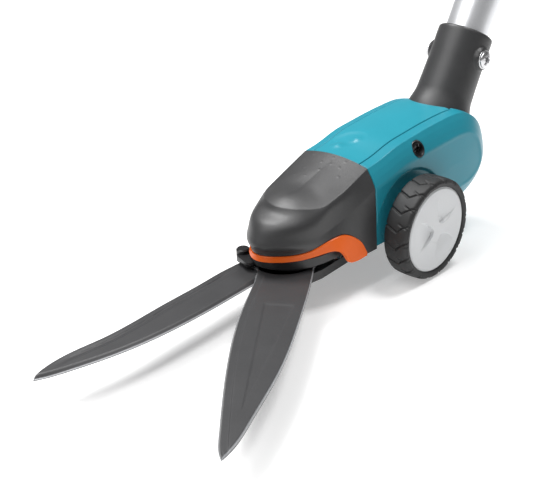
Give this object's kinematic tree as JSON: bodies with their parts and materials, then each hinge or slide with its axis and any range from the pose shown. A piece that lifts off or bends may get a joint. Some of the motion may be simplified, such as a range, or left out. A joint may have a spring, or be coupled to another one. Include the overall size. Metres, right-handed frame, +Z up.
{
  "type": "wheeled stand-up grass shears",
  "caption": "Long-handled grass shears with swivelling two-blade head, wheels, tube handle and squeeze trigger that closes the upper blade.",
  "frame": {"origin": "on the ground midway between the two wheels, straight below the middle of the axle", "axes": "+Z up, -Y forward along the lower blade, +X to the tool's left along the axle"},
  "size_m": [0.1398, 0.7629, 0.8224],
  "materials": {
    "teal_shell": "satin",
    "teal_cover": "satin",
    "dark_plastic": "fine texture",
    "black_plastic": "satin",
    "orange_plastic": "gloss",
    "tube_aluminium": "brushed",
    "blade_coating": "satin non-stick coating",
    "tyre_rubber": "matt",
    "hub_plastic": "satin",
    "soft_grip": "matt",
    "black_screw": "blackened",
    "bright_steel": "bright"
  },
  "bodies": {
    "frame": {"shell_left": "teal_shell", "shell_right": "teal_shell", "top_cover": "teal_cover", "base_plate": "black_plastic", "shell_screws": "black_screw", "bellcrank_pin": "bright_steel", "swivel_bush": "black_plastic", "tube_socket": "dark_plastic", "tube": "tube_aluminium", "socket_bolt": "bright_steel", "socket_nut": "bright_steel", "axle": "bright_steel", "axle_clips": "bright_steel", "handle_shell_left": "dark_plastic", "handle_shell_right": "dark_plastic", "handle_screws": "black_screw", "grip_pad": "soft_grip", "hang_loop": "black_plastic", "trigger_pin": "bright_steel", "trigger_spring": "bright_steel"},
    "head": {"nose_cap": "dark_plastic", "trim_band": "orange_plastic", "swivel_frame": "black_plastic", "swivel_clip": "bright_steel", "blade_carrier": "black_plastic", "glide_shoe": "black_plastic", "blade_rivets": "bright_steel", "pivot_bolt": "bright_steel", "spring_washer": "bright_steel", "pivot_nut": "bright_steel", "lower_blade": "blade_coating"},
    "upper_blade_body": {"upper_blade": "blade_coating", "drive_stud": "bright_steel"},
    "slider": {"drive_slider": "black_plastic"},
    "crank": {"bellcrank": "bright_steel"},
    "rod": {"push_rod": "bright_steel", "rod_pins": "bright_steel"},
    "trigger_lever": {"trigger": "orange_plastic"},
    "lock": {"lock_slide": "orange_plastic"},
    "wheel_left": {"tyre_left": "tyre_rubber", "wheel_hub_left": "hub_plastic", "hub_cap_left": "hub_plastic"},
    "wheel_right": {"tyre_right": "tyre_rubber", "wheel_hub_right": "hub_plastic", "hub_cap_right": "hub_plastic"}
  },
  "joints": [
    {"name": "trigger_hinge", "type": "hinge", "parent": "frame", "child": "trigger_lever", "pos_m": [0, 0.46298, 0.67596], "axis": [1, 0, 0], "range_deg": [0, 22], "stiffness_Nm_per_rad": 0.8, "springref_deg": -20.05},
    {"name": "rod_slide", "type": "slide", "parent": "frame", "child": "rod", "axis": [0, -0.521, -0.8536], "range_m": [0, 0.01012]},
    {"name": "crank_hinge", "type": "hinge", "parent": "frame", "child": "crank", "pos_m": [0, 0.03242, 0.05312], "axis": [-1, 0, 0], "range_deg": [0, 33.12]},
    {"name": "slider_slide", "type": "slide", "parent": "head", "child": "slider", "axis": [0, -1, 0], "range_m": [0, 0.00635]},
    {"name": "blade_pivot", "type": "hinge", "parent": "head", "child": "upper_blade_body", "pos_m": [0, -0.07, 0.022], "axis": [0, 0, -1], "range_deg": [0, 32]},
    {"name": "head_swivel", "type": "hinge", "parent": "frame", "child": "head", "pos_m": [0, -0.029, 0.042], "axis": [0, 1, 0], "range_deg": [-90, 90]},
    {"name": "lock_travel", "type": "slide", "parent": "frame", "child": "lock", "axis": [0, 0.521, 0.8536], "range_m": [0, 0.008]},
    {"name": "wheel_left_spin", "type": "hinge", "parent": "frame", "child": "wheel_left", "pos_m": [0.039, 0, 0.028], "axis": [1, 0, 0], "continuous": true},
    {"name": "wheel_right_spin", "type": "hinge", "parent": "frame", "child": "wheel_right", "pos_m": [-0.0357, 0, 0.028], "axis": [1, 0, 0], "continuous": true}
  ],
  "couplings": [
    {"joint": "rod_slide", "follows": "trigger_hinge", "m_per_rad": 0.026324},
    {"joint": "crank_hinge", "follows": "trigger_hinge", "ratio": 1.5051},
    {"joint": "slider_slide", "follows": "trigger_hinge", "m_per_rad": 0.016511},
    {"joint": "blade_pivot", "follows": "trigger_hinge", "ratio": 1.4545}
  ]
}
